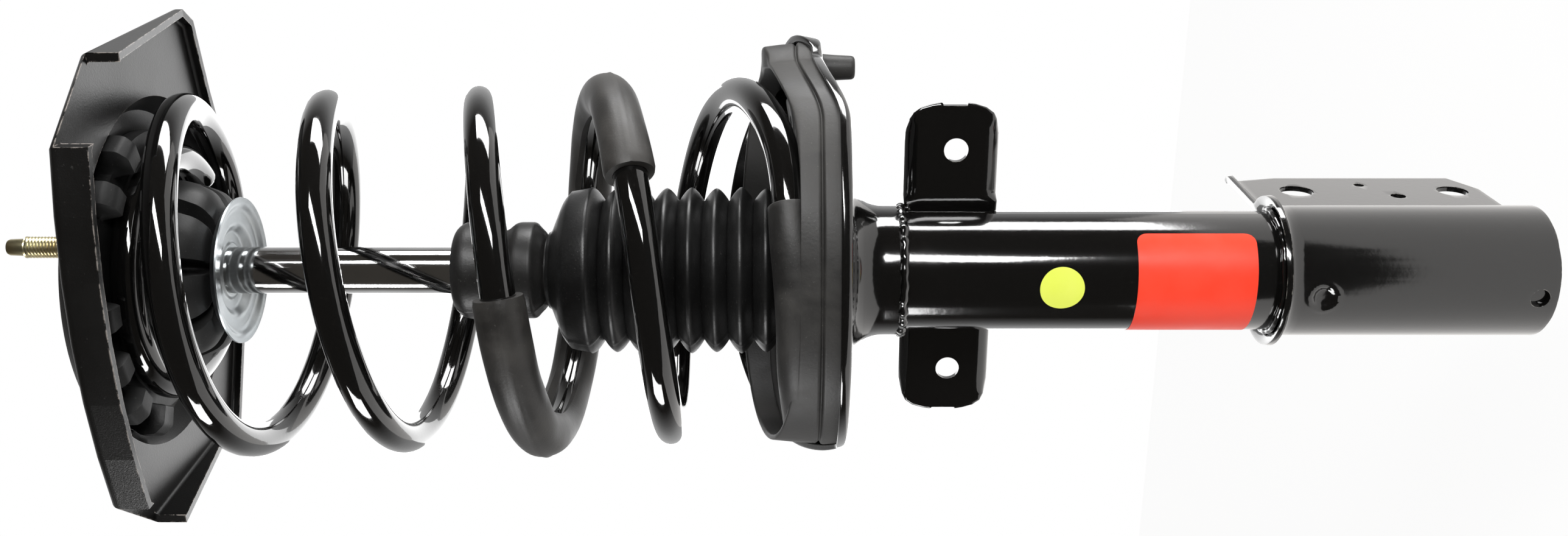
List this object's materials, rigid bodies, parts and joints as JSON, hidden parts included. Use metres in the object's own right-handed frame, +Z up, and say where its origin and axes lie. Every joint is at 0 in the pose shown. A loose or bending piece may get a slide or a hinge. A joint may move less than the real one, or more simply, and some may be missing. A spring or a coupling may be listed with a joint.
{
  "type": "strut assembly",
  "caption": "Car strut: a gas damper inside a coil spring, with a rubber top mount plate, spring seats, a ribbed dust boot, link tabs and a two-eared knuckle bracket.",
  "frame": {"origin": "centre of the tower studs on the mount plate's upper face, where the strut bolts under the car", "axes": "+Z up along the piston rod, out of the tower face; +X towards the upper link tab; +Y towards the open side of the knuckle bracket"},
  "size_m": [0.201, 0.1813, 0.6736],
  "materials": {
    "satin_black_coat": "satin black dip coat on pressed steel",
    "yellow_zinc": "yellow passivated zinc plate",
    "mount_rubber": "matt natural rubber",
    "plain_steel": "machined steel",
    "bright_zinc": "blue bright zinc plate",
    "seat_rubber": "moulded rubber with a grey bloom",
    "hard_chrome": "ground hard chrome",
    "sintered_iron": "sintered iron",
    "slide_band": "filled fluoroplastic band",
    "spring_steel": "blued spring strip",
    "gloss_black_paint": "gloss black enamel",
    "seal_rubber": "nitrile rubber",
    "bronze": "bronze backed bush",
    "spring_paint": "gloss black powder coat",
    "sleeve_rubber": "matt rubber hose",
    "bumper_foam": "moulded foam with a tight skin",
    "boot_rubber": "moulded rubber, half matt",
    "weld_paint": "painted weld bead",
    "red_label": "red vinyl label, left bare",
    "green_sticker": "yellow green sticker, left bare"
  },
  "bodies": {
    "top_mount": {"mount_plate": "satin_black_coat", "mount_studs": "yellow_zinc", "mount_rubber": "mount_rubber", "mount_sleeve": "plain_steel", "upper_washer": "bright_zinc", "rod_nut": "bright_zinc", "bumper_cup": "bright_zinc", "upper_spring_insulator": "seat_rubber", "piston_rod": "hard_chrome", "rebound_stop": "plain_steel", "piston": "sintered_iron", "piston_band": "slide_band", "piston_valve_discs": "spring_steel", "piston_nut": "plain_steel"},
    "strut_body": {"strut_tube": "gloss_black_paint", "strike_cap": "plain_steel", "rod_seal": "seal_rubber", "rod_guide": "sintered_iron", "guide_bush": "bronze", "pressure_tube": "plain_steel", "base_valve": "sintered_iron", "base_valve_discs": "spring_steel", "base_valve_bolt": "plain_steel", "base_cap": "gloss_black_paint", "coil_spring": "spring_paint", "coil_sleeve": "sleeve_rubber", "lower_spring_perch": "gloss_black_paint", "perch_collar": "gloss_black_paint", "lower_spring_insulator": "seat_rubber", "jounce_bumper": "bumper_foam", "dust_boot": "boot_rubber", "link_bracket": "gloss_black_paint", "knuckle_bracket": "gloss_black_paint", "perch_weld": "weld_paint", "bracket_weld": "weld_paint", "tube_label": "red_label", "round_sticker": "green_sticker"}
  },
  "joints": [
    {"name": "strut_travel", "type": "slide", "parent": "top_mount", "child": "strut_body", "axis": [0, 0, 1], "range_m": [0, 0.145], "stiffness_N_per_m": 30000, "springref_m": -0.06, "deforming": ["coil_spring", "coil_sleeve", "dust_boot", "jounce_bumper"]}
  ]
}
